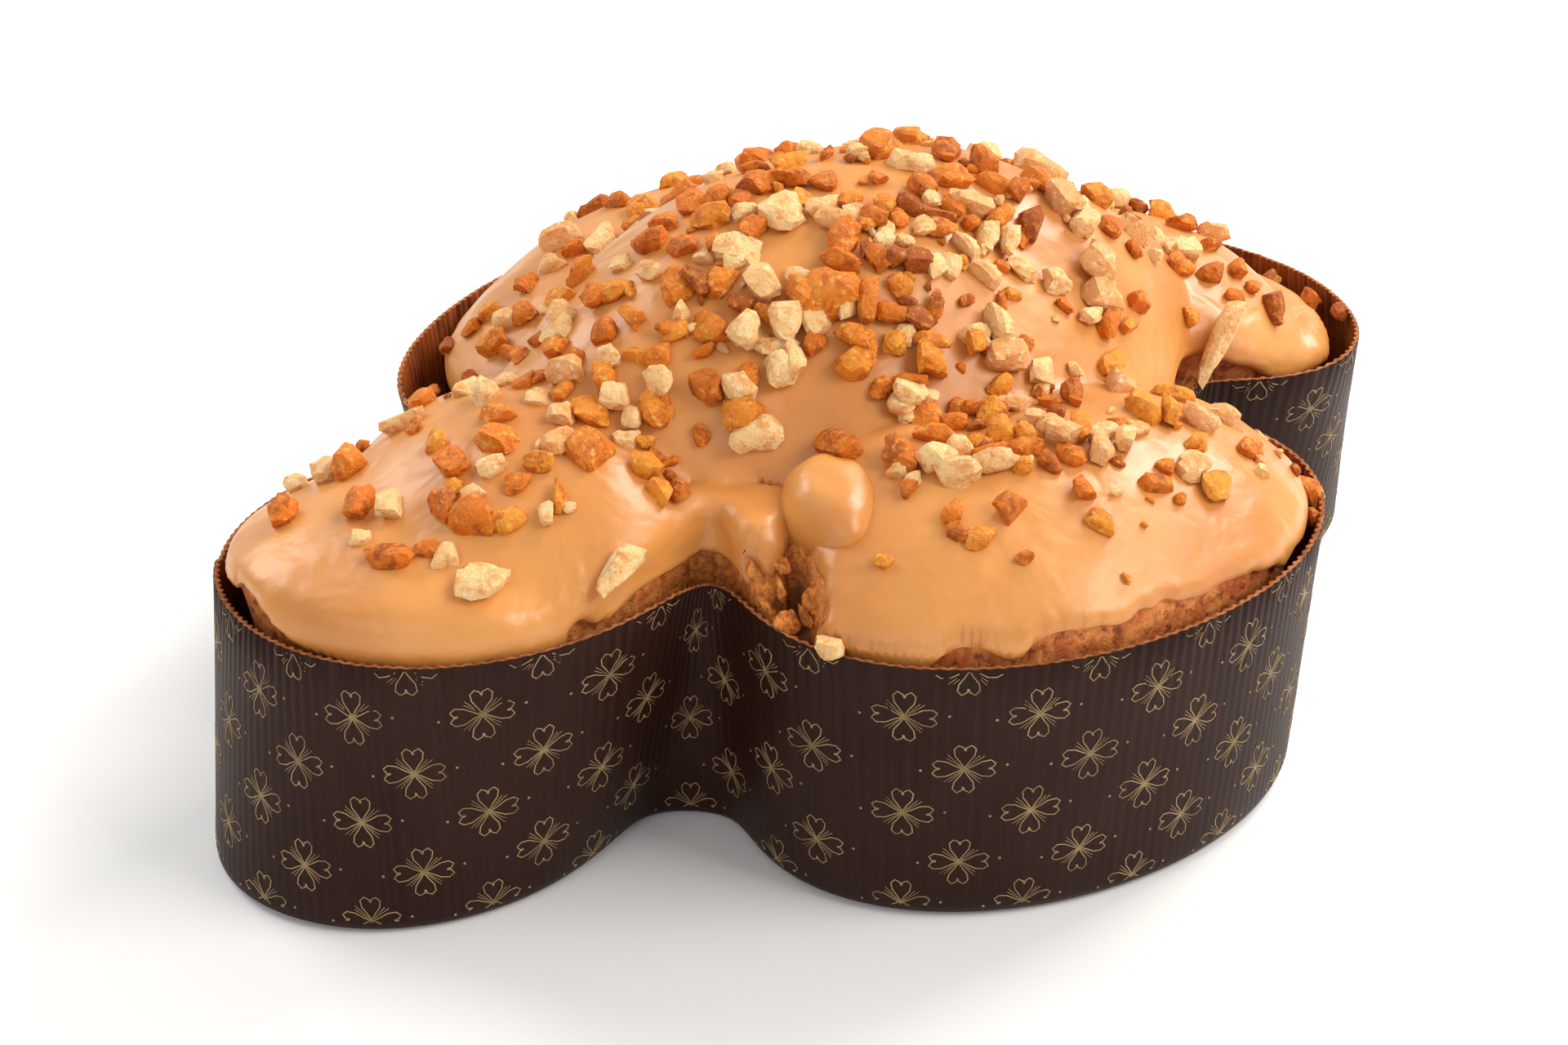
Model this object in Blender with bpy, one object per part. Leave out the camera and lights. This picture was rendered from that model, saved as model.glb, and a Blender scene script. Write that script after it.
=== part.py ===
"""Colomba: a dove-shaped festive cake in its paper case, glazed and strewn with chopped nuts.

Metres, +Z up. The origin is the centre of the case's foot, on the surface it stands on.
The head points to -X, the tail to +X, and the wings to -Y and +Y.
"""

import math
import random

import bmesh
import bpy
import numpy as np
from mathutils import Matrix, Vector
from mathutils.geometry import delaunay_2d_cdt

MM = 0.001

# The outline of each lobe of the dove, in mm: centre x, centre y, half length, half width, turn in degrees
BASE_LOBES = {
    "head": (-109, -6, 44, 38, 0),
    "near_wing": (-1, -66, 62, 43, -5),
    "tail": (104, -2, 43, 37, 0),
    "far_wing": (-3, 62, 64, 43, 11),
    "body": (-3, -2, 82, 55, 0),
}
RIM_LOBES = {
    "head": (-97, -7, 48, 44, 0),
    "near_wing": (-1, -66, 65, 46, 0),
    "tail": (98, -2, 37, 47, 0),
    "far_wing": (-6, 63, 75, 46, 17),
    "body": (-1, -2, 84, 56, 0),
}
DOUGH_LOBES = {
    "head": (-96, -8, 43, 38, 0),
    "near_wing": (-4, -66, 60, 41, 0),
    "tail": (93, -3, 29, 36, 0),
    "far_wing": (-3, 59, 60, 43, 15),
    "body": (-1, -2, 80, 52, 0),
}
LOBE_BLEND = 6.0  # how softly neighbouring lobes run together

# The risen dome of each lobe, in mm: centre x, centre y, half length, half width, turn in degrees, rise
DOMES = {
    "head": (-104.5, -12, 52, 43.5, 0, 25.5),
    "neck": (-80, -8, 37, 48.5, 0, 33.5),
    "near_wing": (-4, -66, 64, 48, 0, 34),
    "tail": (82, 1, 37, 46, 0, 32),
    "far_wing": (2, 58, 70, 48, 15, 37),
    "body": (2, 0, 84, 57, 0, 64),
}
SHOULDER = 48.0  # height from which the domes rise
DOME_BLEND = 4.0  # power that joins the domes: higher makes sharper valleys

# Paper case
WALL_HEIGHT = 60.0
PAPER = 1.2
FOOT_ROUND = 3.0  # rounding where the wall meets the floor
WALL_SHARES = (0.5, 1.0)  # heights of the wall's rings, as shares of the whole
AROUND = 96  # points around each outline

# Clearances between the pieces
GAP = 0.4

# The dough's side from the top down: share of the dough's outline over the foot's, inset, height
DOUGH_SIDES = (
    (0.6, 1.6, 34.0),
    (0.1, 3.6, 8.0),
    (0.0, 5.5, PAPER + GAP),
)

# Glaze
GLAZE_THICK = 2.0
GLAZE_MARGIN = 0.8  # from the dough's edge to the glaze's edge
RING_STEPS = (2.5, 8.0)  # further rings inside the glaze's edge
FILL_STEP = 10.5  # spacing of the points that fill the dome

# Where the glaze ends short of the dough's edge and crust shows: x, y, radius, extra margin
CRUST_SPOTS = (
    (-146, -10, 10, 3),
    (-80, -51, 9, 3),
    (-63, -57, 13, 9),
    (-30, -106, 14, 4),
    (-8, -110, 16, 5),
    (14, -108, 14, 4),
)

# Swellings of the glaze over torn dough: x, y, z, half sizes x, y, z, turn in degrees
LUMPS = (
    (-46, -58, 72, 13, 10, 10, 60),
    (-58, -42, 65, 9, 13, 9, 20),
)
# The torn opening beside them: x, y, z, half sizes x, y, z, turn in degrees
TEAR = (-60, -66, 65, 11, 5, 13, 35)

# Chopped nuts: those of 5 mm and more. The smaller ones are left to the visual model.
NUT_SEED = 7
NUT_POINTS = 10

# Each nut, in mm: x, y, across. The ones in sight lie where the photo shows them; the rest is a guess.
NUTS = (
    (11, 4, 8.9), (53, 1, 8.8), (-26, -28, 8.7), (27, 13, 8.6), (-110, -39, 8.5), (1, -48, 8.3),
    (29, -8, 8.3), (4, 37, 8.3), (40, -21, 8.2), (75, 14, 8.2), (-30, 68, 8.1), (23, 58, 8.1),
    (-4, 94, 7.9), (-27, -39, 7.7), (16, -20, 7.7), (-22, -8, 7.7), (42, 33, 7.7), (-101, -15, 7.6),
    (85, -15, 7.6), (-34, -10, 7.6), (37, 67, 7.6), (80, 19, 7.6), (-80, -27, 7.5), (23, -61, 7.5),
    (-36, -50, 7.5), (104, -4, 7.5), (35, 77, 7.5), (-14, 41, 7.5), (40, 27, 7.4), (60, 18, 7.4),
    (-14, -44, 7.3), (-34, -20, 7.3), (-20, -33, 7.3), (-129, 2, 7.2), (38, -33, 7.2), (-35, -28, 7.2),
    (6, 47, 7.2), (10, 41, 7.2), (-25, 56, 7.1), (30, 28, 7.1), (-111, 9, 7), (-104, -28, 7), (-49, -37, 7),
    (3, -43, 7), (-3, 46, 7), (50, 16, 7), (28, 59, 7), (-71, -6, 6.9), (13, -5, 6.9), (39, 54, 6.9),
    (34, 63, 6.9), (-32, -62, 6.8), (40, -14, 6.8), (25, 68, 6.8), (-42, -25, 6.7), (-6, 12, 6.7),
    (-17, -22, 6.7), (31, 37, 6.7), (44, 24, 6.7), (30, -48, 6.6), (-8, -3, 6.6), (61, -9, 6.6),
    (63, -18, 6.6), (15, -89, 6.5), (24, 50, 6.5), (36, 36, 6.5), (12, 36, 6.5), (-119, -9, 6.4),
    (-49, -31, 6.4), (-6, -75, 6.4), (-28, -72, 6.4), (17, -13, 6.4), (93, 16, 6.4), (84, -24, 6.4),
    (96, -32, 6.4), (-16, -16, 6.4), (-10, 64, 6.4), (14, 50, 6.4), (28, -25, 6.3), (41, -26, 6.3),
    (-43, 7, 6.3), (-73, -17, 6.2), (-32, 2, 6.2), (13, -28, 6.2), (-40, -13, 6.2), (-54, 3, 6.2),
    (30, 80, 6.2), (89, 18, 6.2), (82, 11, 6.2), (-62, -23, 6.1), (10, -62, 6.1), (-28, -67, 6.1),
    (-17, 5, 6.1), (-13, 2, 6.1), (58, 10, 6.1), (-98, 11, 6), (-52, 53, 6), (18, -73, 6), (4, -23, 6),
    (6, -35, 6), (-47, -19, 6), (-50, 21, 6), (-92, -15, 5.9), (-56, 50, 5.9), (-9, -60, 5.9),
    (22, -75, 5.9), (8, -14, 5.9), (99, 7, 5.9), (-20, -26, 5.9), (-7, -31, 5.9), (-21, -52, 5.8),
    (25, -2, 5.8), (26, -16, 5.8), (-29, -8, 5.8), (-12, -39, 5.8), (8, 77, 5.8), (-47, -8, 5.8),
    (-121, -25, 5.7), (28, -78, 5.7), (50, -24, 5.7), (78, -20, 5.7), (-30, 11, 5.7), (16, 57, 5.7),
    (-91, 17, 5.6), (-61, -5, 5.6), (-3, -60, 5.6), (-12, -67, 5.6), (-1, -76, 5.6), (4, -77, 5.6),
    (-1, -81, 5.6), (-25, -61, 5.6), (95, -3, 5.6), (-38, -33, 5.6), (-56, 19, 5.6), (-10, 75, 5.6),
    (-114, -13, 5.5), (-97, -21, 5.5), (-84, -22, 5.5), (-53, -27, 5.5), (-79, -15, 5.5), (-21, -46, 5.5),
    (-18, -59, 5.5), (38, -74, 5.5), (-37, 10, 5.5), (13, 44, 5.5), (14, 32, 5.5), (-7, 43, 5.5),
    (68, 10, 5.5), (-65, 6, 5.4), (-21, -75, 5.4), (-25, -84, 5.4), (94, -22, 5.4), (-3, -16, 5.4),
    (2, -27, 5.4), (5, -30, 5.4),
)


def lobe_distance(points, lobe):
    """How far outside a lobe's ellipse the points are, in mm; negative inside."""
    x0, y0, length, width, turn = lobe
    cos, sin = math.cos(math.radians(turn)), math.sin(math.radians(turn))
    x, y = points[..., 0] - x0, points[..., 1] - y0
    u, v = x * cos + y * sin, y * cos - x * sin
    near = np.hypot(u / length, v / width) + 1e-9
    steep = np.hypot(u / length**2, v / width**2) + 1e-9
    return near * (near - 1) / steep


def outside(points, lobes):
    """How far outside the whole outline the points are: the lobes run together smoothly."""
    shares = [np.exp(np.clip(-lobe_distance(points, lobe) / LOBE_BLEND, -60, 60)) for lobe in lobes]
    return -LOBE_BLEND * np.log(sum(shares))


def mixed(low, high, share):
    """The lobes a share of the way from one set to another."""
    return [tuple(np.array(low[name]) * (1 - share) + np.array(high[name]) * share) for name in low]


def slope(value, points, step=0.05):
    """The gradient of value, a function of points in plan."""
    across = (value(points + [step, 0]) - value(points - [step, 0])) / (2 * step)
    along = (value(points + [0, step]) - value(points - [0, step])) / (2 * step)
    return np.stack([across, along], -1)


def settled(points, lobes, level=0.0, rounds=8):
    """The points moved straight towards the outline until they lie level outside it."""
    for _ in range(rounds):
        gradient = slope(lambda p: outside(p, lobes), points)
        short = outside(points, lobes) - level
        points = points - gradient * (short / (gradient**2).sum(-1))[..., None]
    return points


def evenly_spaced(loop, count):
    """count points at equal steps along a closed loop."""
    closed = np.vstack([loop, loop[:1]])
    reached = np.append(0, np.cumsum(np.hypot(*np.diff(closed, axis=0).T)))
    stops = np.linspace(0, reached[-1], count, endpoint=False)
    return np.stack([np.interp(stops, reached, closed[:, 0]), np.interp(stops, reached, closed[:, 1])], 1)


def outline(lobes, count, level=0.0):
    """The closed outline of the lobes, anticlockwise from the head's tip."""
    angles = np.linspace(math.pi, 3 * math.pi, 720, endpoint=False)
    rays = np.stack([np.cos(angles), np.sin(angles)], 1)
    low, high = np.full(len(rays), 5.0), np.full(len(rays), 230.0)
    for _ in range(24):
        middle = (low + high) / 2
        within = outside(rays * middle[:, None], lobes) < level
        low, high = np.where(within, middle, low), np.where(within, high, middle)
    loop = rays * low[:, None]
    for _ in range(12):
        loop = settled(evenly_spaced(loop, count), lobes, level, 3)
    return loop


def dome_height(points):
    """The height of the dough's top."""
    total = 0
    for x0, y0, length, width, turn, rise in DOMES.values():
        cos, sin = math.cos(math.radians(turn)), math.sin(math.radians(turn))
        x, y = points[..., 0] - x0, points[..., 1] - y0
        u, v = (x * cos + y * sin) / length, (y * cos - x * sin) / width
        total = total + (rise * np.sqrt(np.clip(1 - u * u - v * v, 0, 1))) ** DOME_BLEND
    return SHOULDER + total ** (1 / DOME_BLEND)


def dome_normals(points):
    """The outward normals of the dough's top."""
    gradient = slope(dome_height, points, 0.5)
    normals = np.column_stack([-gradient, np.ones(len(points))])
    return normals / np.linalg.norm(normals, axis=1)[:, None]


def glaze_margin(points):
    """How far inside the dough's edge the glaze ends."""
    margin = np.full(len(points), GLAZE_MARGIN)
    for x, y, radius, extra in CRUST_SPOTS:
        margin += extra * np.exp(-((points[:, 0] - x) ** 2 + (points[:, 1] - y) ** 2) / radius**2)
    return margin


def at_height(loop, z):
    """A loop in plan as points in space."""
    return np.column_stack([loop, np.broadcast_to(z, len(loop))])


def material(name, colour, roughness):
    """A Principled material of one colour."""
    made = bpy.data.materials.new(name)
    made.use_nodes = True
    shader = made.node_tree.nodes["Principled BSDF"]
    shader.inputs["Base Color"].default_value = (*colour, 1.0)
    shader.inputs["Roughness"].default_value = roughness
    shader.inputs["Metallic"].default_value = 0.0
    return made


def add_object(name, mesh_source, finish, smooth_angle=35):
    """A named object from a bmesh, shaded smooth except at its sharp edges."""
    mesh = bpy.data.meshes.new(name)
    mesh_source.to_mesh(mesh)
    mesh_source.free()
    mesh.shade_smooth()
    mesh.set_sharp_from_angle(angle=math.radians(smooth_angle))
    made = bpy.data.objects.new(name, mesh)
    made.data.materials.append(finish)
    bpy.context.scene.collection.objects.link(made)
    return made


def add_rings(work, rings):
    """Rings of points in space joined by bands of faces, each ring inside or above the one before."""
    loops = [[work.verts.new(point * MM) for point in ring] for ring in rings]
    for low, high in zip(loops, loops[1:]):
        for i in range(len(low)):
            j = (i + 1) % len(low)
            work.faces.new((low[i], low[j], high[j], high[i]))
    return loops


def paper_case():
    """The dove-shaped case: a floor and a wall that leans between the foot and rim outlines."""
    base = list(BASE_LOBES.values())
    foot = outline(base, AROUND)
    bevel = FOOT_ROUND * (1 - math.sqrt(0.5))
    outer = [
        at_height(settled(foot, base, -FOOT_ROUND), 0.0),
        at_height(settled(foot, base, -bevel), bevel),
        at_height(foot, FOOT_ROUND),
    ]
    inner = [
        at_height(settled(foot, base, -PAPER - FOOT_ROUND), PAPER),
        at_height(settled(foot, base, -PAPER - bevel), FOOT_ROUND),
    ]
    loop = foot
    for share in WALL_SHARES:
        lobes = mixed(BASE_LOBES, RIM_LOBES, share)
        loop = settled(loop, lobes)
        outer.append(at_height(loop, WALL_HEIGHT * share))
        inner.append(at_height(settled(loop, lobes, -PAPER), WALL_HEIGHT * share))
    work = bmesh.new()
    loops = add_rings(work, outer + inner[::-1])
    work.faces.new(loops[0][::-1])
    work.faces.new(loops[-1])
    return add_object("paper_case", work, material("printed_paper", (0.04, 0.018, 0.014), 0.45))


def dome_plan():
    """The dough's top in plan: its edge, the rings inside it, and the triangles that fill the middle."""
    lobes = list(DOUGH_LOBES.values())
    edge = outline(lobes, AROUND)
    margin = glaze_margin(edge)
    rings = [edge, settled(edge, lobes, -margin)]
    for step in RING_STEPS:
        rings.append(settled(rings[-1], lobes, -margin - step))
    last = rings[-1]
    spots = []
    rows = int(260 / (FILL_STEP * math.sqrt(0.75)))
    for row in range(rows):
        y = -130 + row * FILL_STEP * math.sqrt(0.75)
        spots += [(-160 + (column + row % 2 / 2) * FILL_STEP, y) for column in range(int(320 / FILL_STEP))]
    spots = np.array(spots)
    depth = glaze_margin(spots) + RING_STEPS[-1] + FILL_STEP * 0.55
    spots = spots[outside(spots, lobes) < -depth]
    points = [Vector(point) for point in np.vstack([last, spots])]
    borders = [(i, (i + 1) % AROUND) for i in range(AROUND)]
    flat, _, triangles, *_ = delaunay_2d_cdt(points, borders, [], 1, 1e-6)
    return rings, np.array([tuple(point) for point in flat]), triangles


def add_dome(work, rings, flat, triangles, lift, upwards):
    """The dome's surface, lifted along its normals. Returns its first ring's vertices."""

    def raised(plan):
        return at_height(plan, dome_height(plan)) + dome_normals(plan) * lift

    middle = [work.verts.new(point * MM) for point in raised(flat)]
    loops = [[work.verts.new(point * MM) for point in raised(ring)] for ring in rings[:-1]]
    loops.append(middle[:AROUND])
    faces = [tuple(middle[i] for i in triangle) for triangle in triangles]
    for low, high in zip(loops, loops[1:]):
        for i in range(AROUND):
            j = (i + 1) % AROUND
            faces += [(low[i], low[j], high[j]), (low[i], high[j], high[i])]
    for face in faces:
        work.faces.new(face if upwards else face[::-1])
    return loops[0]


def close_below(work, edge, loops):
    """Sides from the dome's edge down through the loops, and a flat face under the lowest."""
    sides = [edge] + [[work.verts.new(point * MM) for point in loop] for loop in loops]
    for high, low in zip(sides, sides[1:]):
        for i in range(AROUND):
            j = (i + 1) % AROUND
            work.faces.new((low[i], low[j], high[j], high[i]))
    work.faces.new(sides[-1][::-1])


def cake(plan):
    """The dough: it fills the case, stands clear of the wall near the rim, and rises in a dome."""
    rings, flat, triangles = plan
    work = bmesh.new()
    edge = add_dome(work, rings, flat, triangles, 0.0, True)
    loop = rings[0]
    loops = []
    for share, inset, z in DOUGH_SIDES:
        loop = settled(loop, mixed(BASE_LOBES, DOUGH_LOBES, share), -inset)
        loops.append(at_height(loop, z))
    close_below(work, edge, loops)
    return add_object("cake", work, material("baked_crust", (0.3, 0.1, 0.028), 0.75))


def room_for_dough(plan):
    """The space the glaze and the nuts must keep out of: the dough and a thin gap round it."""
    rings, flat, triangles = plan
    work = bmesh.new()
    edge = add_dome(work, rings, flat, triangles, GAP * 0.9, True)
    below = settled(rings[0], list(DOUGH_LOBES.values()), GAP)
    close_below(work, edge, [at_height(below, SHOULDER - 2), at_height(below, SHOULDER / 2)])
    mesh = bpy.data.meshes.new("room_for_dough")
    work.to_mesh(mesh)
    work.free()
    return bpy.data.objects.new("room_for_dough", mesh)


def swollen(body, amount):
    """A copy of a body, a little larger all round: it keeps the glaze off in the steep valley at the notch."""
    mesh = body.data.copy()
    for vertex, normal in zip(mesh.vertices, [tuple(n.vector) for n in mesh.vertex_normals]):
        vertex.co += Vector(normal) * amount * MM
    return bpy.data.objects.new(body.name + "_swollen", mesh)


def glaze_coat(plan):
    """The glaze: an even coat over the dome, up to its own edge."""
    rings, flat, triangles = plan
    work = bmesh.new()
    inner = add_dome(work, rings[1:], flat, triangles, GAP, False)
    outer = add_dome(work, rings[1:], flat, triangles, GAP + GLAZE_THICK, True)
    for i in range(AROUND):
        j = (i + 1) % AROUND
        work.faces.new((inner[i], inner[j], outer[j], outer[i]))
    return add_object("glaze", work, material("caramel_glaze", (0.56, 0.26, 0.1), 0.35))


def ball(name, x, y, z, length, width, height, turn):
    """An egg-shaped body, for a swelling or a cutter."""
    work = bmesh.new()
    bmesh.ops.create_icosphere(work, subdivisions=2, radius=1.0)
    place = Matrix.Translation(Vector((x, y, z)) * MM) @ Matrix.Rotation(math.radians(turn), 4, "Z")
    place = place @ Matrix.Diagonal((length * MM, width * MM, height * MM, 1.0))
    bmesh.ops.transform(work, matrix=place, verts=work.verts)
    mesh = bpy.data.meshes.new(name)
    work.to_mesh(mesh)
    work.free()
    return bpy.data.objects.new(name, mesh)


def nut(number, x, y, size):
    """One chopped nut: the hull of a few points round an uneven egg, part sunk in the glaze."""
    draw = random.Random(NUT_SEED * 1000 + number)
    here = np.array([[x, y]])
    normal = Vector(dome_normals(here)[0])
    foot = Vector((x, y, float(dome_height(here)[0])))
    centre = foot + normal * (GAP + GLAZE_THICK)
    shape = Vector((1.0, draw.uniform(0.7, 0.95), draw.uniform(0.6, 0.85))) * (size / 2)
    turn = normal.to_track_quat("Z", "Y").to_matrix() @ Matrix.Rotation(draw.uniform(0, math.tau), 3, "Z")
    work = bmesh.new()
    for i in range(NUT_POINTS):
        z = 1 - (2 * i + 1) / NUT_POINTS
        angle = i * math.radians(137.5)
        flat = math.sqrt(1 - z * z)
        spoke = Vector((flat * math.cos(angle), flat * math.sin(angle), z)) * draw.uniform(0.85, 1.1)
        work.verts.new((centre + turn @ (spoke * shape)) * MM)
    bmesh.ops.convex_hull(work, input=work.verts)
    mesh = bpy.data.meshes.new(f"nut_{number}")
    work.to_mesh(mesh)
    work.free()
    return bpy.data.objects.new(mesh.name, mesh)


def apply_boolean(target, operation, pieces):
    """One Boolean of all the pieces on the target, applied; the pieces are then removed."""
    group = bpy.data.collections.new(target.name + "_" + operation.lower())
    bpy.context.scene.collection.children.link(group)
    for piece in pieces:
        group.objects.link(piece)
    change = target.modifiers.new(operation.title(), "BOOLEAN")
    change.operation = operation
    change.operand_type = "COLLECTION"
    change.collection = group
    change.solver = "MANIFOLD"
    bpy.context.view_layer.update()
    shaped = bpy.data.meshes.new_from_object(target.evaluated_get(bpy.context.evaluated_depsgraph_get()))
    target.modifiers.clear()
    target.data = shaped
    for piece in pieces:
        bpy.data.objects.remove(piece)
    bpy.data.collections.remove(group)


def drop_scraps(target):
    """Leaves only the largest connected body of the target."""
    work = bmesh.new()
    work.from_mesh(target.data)
    bodies, seen = [], set()
    for start in work.verts:
        if start in seen:
            continue
        body, waiting = [], [start]
        seen.add(start)
        while waiting:
            here = waiting.pop()
            body.append(here)
            for edge in here.link_edges:
                other = edge.other_vert(here)
                if other not in seen:
                    seen.add(other)
                    waiting.append(other)
        bodies.append(body)
    bodies.sort(key=len)
    for body in bodies[:-1]:
        bmesh.ops.delete(work, geom=body, context="VERTS")
    work.to_mesh(target.data)
    work.free()


def centre_on(case, pieces):
    """Moves the pieces so that the case's box is centred over the origin."""
    points = np.array([vertex.co for vertex in case.data.vertices])
    middle = (points.min(0) + points.max(0)) / 2
    for piece in pieces:
        piece.data.transform(Matrix.Translation((-middle[0], -middle[1], 0.0)))


def main():
    for found in list(bpy.data.objects):
        bpy.data.objects.remove(found)
    case = paper_case()
    plan = dome_plan()
    dough = cake(plan)
    coat = glaze_coat(plan)
    toppings = [ball(f"lump_{i}", *lump) for i, lump in enumerate(LUMPS)]
    toppings += [nut(i, *spot) for i, spot in enumerate(NUTS)]
    apply_boolean(coat, "UNION", toppings)
    apply_boolean(coat, "DIFFERENCE", [room_for_dough(plan), swollen(dough, GAP * 0.5), ball("tear", *TEAR)])
    drop_scraps(coat)
    apply_boolean(dough, "DIFFERENCE", [ball("tear", *TEAR)])
    centre_on(case, [case, dough, coat])


main()
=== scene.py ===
import itertools
import math
import random

import bmesh
import bpy
import numpy as np
from mathutils import Matrix, Vector


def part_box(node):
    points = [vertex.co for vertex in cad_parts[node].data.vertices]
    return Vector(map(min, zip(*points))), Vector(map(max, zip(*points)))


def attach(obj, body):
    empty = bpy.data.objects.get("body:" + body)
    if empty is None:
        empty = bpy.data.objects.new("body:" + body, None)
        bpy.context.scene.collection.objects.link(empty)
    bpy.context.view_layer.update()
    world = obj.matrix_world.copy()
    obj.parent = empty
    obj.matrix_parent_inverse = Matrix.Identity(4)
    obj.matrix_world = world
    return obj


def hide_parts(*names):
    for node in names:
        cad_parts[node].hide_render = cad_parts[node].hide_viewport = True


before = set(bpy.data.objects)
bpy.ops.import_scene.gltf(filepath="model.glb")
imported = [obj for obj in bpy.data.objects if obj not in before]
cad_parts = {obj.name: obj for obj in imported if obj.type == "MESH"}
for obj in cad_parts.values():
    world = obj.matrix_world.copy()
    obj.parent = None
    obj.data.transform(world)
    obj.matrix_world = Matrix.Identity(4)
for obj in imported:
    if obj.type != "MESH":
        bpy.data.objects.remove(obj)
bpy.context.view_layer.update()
mm = 0.001

# The dove's shape, in mm. A lobe is centre x, centre y, half length, half width, turn in degrees.
# These are the solids' own values, so every piece fits its solid.
dove = {
    "foot": {
        "head": (-109, -6, 44, 38, 0),
        "nearWing": (-1, -66, 62, 43, -5),
        "tail": (104, -2, 43, 37, 0),
        "farWing": (-3, 62, 64, 43, 11),
        "body": (-3, -2, 82, 55, 0),
    },
    "rim": {
        "head": (-97, -7, 48, 44, 0),
        "nearWing": (-1, -66, 65, 46, 0),
        "tail": (98, -2, 37, 47, 0),
        "farWing": (-6, 63, 75, 46, 17),
        "body": (-1, -2, 84, 56, 0),
    },
    "dough": {
        "head": (-96, -8, 43, 38, 0),
        "nearWing": (-4, -66, 60, 41, 0),
        "tail": (93, -3, 29, 36, 0),
        "farWing": (-3, 59, 60, 43, 15),
        "body": (-1, -2, 80, 52, 0),
    },
    # A dome has its rise as well.
    "domes": {
        "head": (-104.5, -12, 52, 43.5, 0, 25.5),
        "neck": (-80, -8, 37, 48.5, 0, 33.5),
        "nearWing": (-4, -66, 64, 48, 0, 34),
        "tail": (82, 1, 37, 46, 0, 32),
        "farWing": (2, 58, 70, 48, 15, 37),
        "body": (2, 0, 84, 57, 0, 64),
    },
    "shoulder": 48.0,  # height from which the domes rise
    "domeBlend": 4.0,  # higher makes sharper valleys between the domes
    "lobeBlend": 6.0,  # how softly the lobes' outlines run together
    "wallHeight": 60.0,
    "sheetHalf": 168.0,  # of the square grid that the skin and the glaze are cut from
}
footLobes, rimLobes, doughLobes = (list(dove[level].values()) for level in ("foot", "rim", "dough"))


def turnedFrom(points, x0, y0, turn):  # plan points seen from a place, with the drawing turned
    cos, sin = math.cos(math.radians(turn)), math.sin(math.radians(turn))
    x, y = points[..., 0] - x0, points[..., 1] - y0
    return x * cos + y * sin, y * cos - x * sin


def lobeDistance(points, lobe):
    x0, y0, length, width, turn = lobe
    u, v = turnedFrom(points, x0, y0, turn)
    near = np.hypot(u / length, v / width) + 1e-9
    steep = np.hypot(u / length**2, v / width**2) + 1e-9
    return near * (near - 1) / steep


def outside(points, lobes):  # mm outside the whole outline, less than 0 within it
    blend = dove["lobeBlend"]
    shares = [np.exp(np.clip(-lobeDistance(points, lobe) / blend, -60, 60)) for lobe in lobes]
    return -blend * np.log(sum(shares))


def mixedLobes(low, high, share):
    return [tuple(np.array(low[name]) * (1 - share) + np.array(high[name]) * share) for name in low]


def slopeOf(value, points, step=0.05):
    across = (value(points + [step, 0]) - value(points - [step, 0])) / (2 * step)
    along = (value(points + [0, step]) - value(points - [0, step])) / (2 * step)
    return np.stack([across, along], -1)


def settled(points, lobes, level=0.0, rounds=8):  # moves points straight to the outline
    for _ in range(rounds):
        gradient = slopeOf(lambda p: outside(p, lobes), points)
        short = outside(points, lobes) - level
        points = points - gradient * (short / (gradient**2).sum(-1))[..., None]
    return points


def evenlySpaced(loop, count):
    closed = np.vstack([loop, loop[:1]])
    reached = np.append(0, np.cumsum(np.hypot(*np.diff(closed, axis=0).T)))
    stops = np.linspace(0, reached[-1], count, endpoint=False)
    return np.stack([np.interp(stops, reached, closed[:, 0]), np.interp(stops, reached, closed[:, 1])], 1)


def outline(lobes, count, level=0.0):  # anticlockwise from the head's tip
    angles = np.linspace(math.pi, 3 * math.pi, max(720, count), endpoint=False)
    rays = np.stack([np.cos(angles), np.sin(angles)], 1)
    low, high = np.full(len(rays), 5.0), np.full(len(rays), 230.0)
    for _ in range(24):
        middle = (low + high) / 2
        within = outside(rays * middle[:, None], lobes) < level
        low, high = np.where(within, middle, low), np.where(within, high, middle)
    loop = rays * low[:, None]
    for _ in range(6):
        loop = settled(evenlySpaced(loop, count), lobes, level, 3)
    return loop


def unit(vectors):
    return vectors / (np.linalg.norm(vectors, axis=-1)[..., None] + 1e-12)


def outward(points, lobes):
    return unit(slopeOf(lambda p: outside(p, lobes), points))


def ripple(points, size, seed):  # smooth noise from -1 to 1, with bumps of about that size
    lattice = np.random.default_rng(seed).uniform(-1, 1, (24, 24, 24))
    at = np.zeros((len(points), 3))
    at[:, :points.shape[1]] = points
    turned = at @ np.array([[0.8, 0.6, 0.0], [-0.48, 0.64, 0.6], [0.36, -0.48, 0.8]]) / size + 240.0
    low = np.floor(turned).astype(int)
    part = turned - low
    part = part * part * (3 - 2 * part)
    total = np.zeros(len(points))
    for corner in itertools.product((0, 1), repeat=3):
        weight = np.prod(np.where(np.array(corner) == 1, part, 1 - part), -1)
        total += weight * lattice[tuple(((low + corner) % 24).T)]
    return total


def smoothStep(low, high, value):
    t = np.clip((value - low) / (high - low), 0, 1)
    return t * t * (3 - 2 * t)


def bumpAt(points, x, y, radius):  # 1 at a spot in plan, falling off over its radius
    return np.exp(-((points[:, 0] - x) ** 2 + (points[:, 1] - y) ** 2) / radius**2)


def domeHeight(points):
    total = 0
    for x0, y0, length, width, turn, rise in dove["domes"].values():
        u, v = turnedFrom(points, x0, y0, turn)
        part = np.clip(1 - (u / length) ** 2 - (v / width) ** 2, 0, 1)
        total = total + (rise * np.sqrt(part)) ** dove["domeBlend"]
    return dove["shoulder"] + total ** (1 / dove["domeBlend"])


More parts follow.
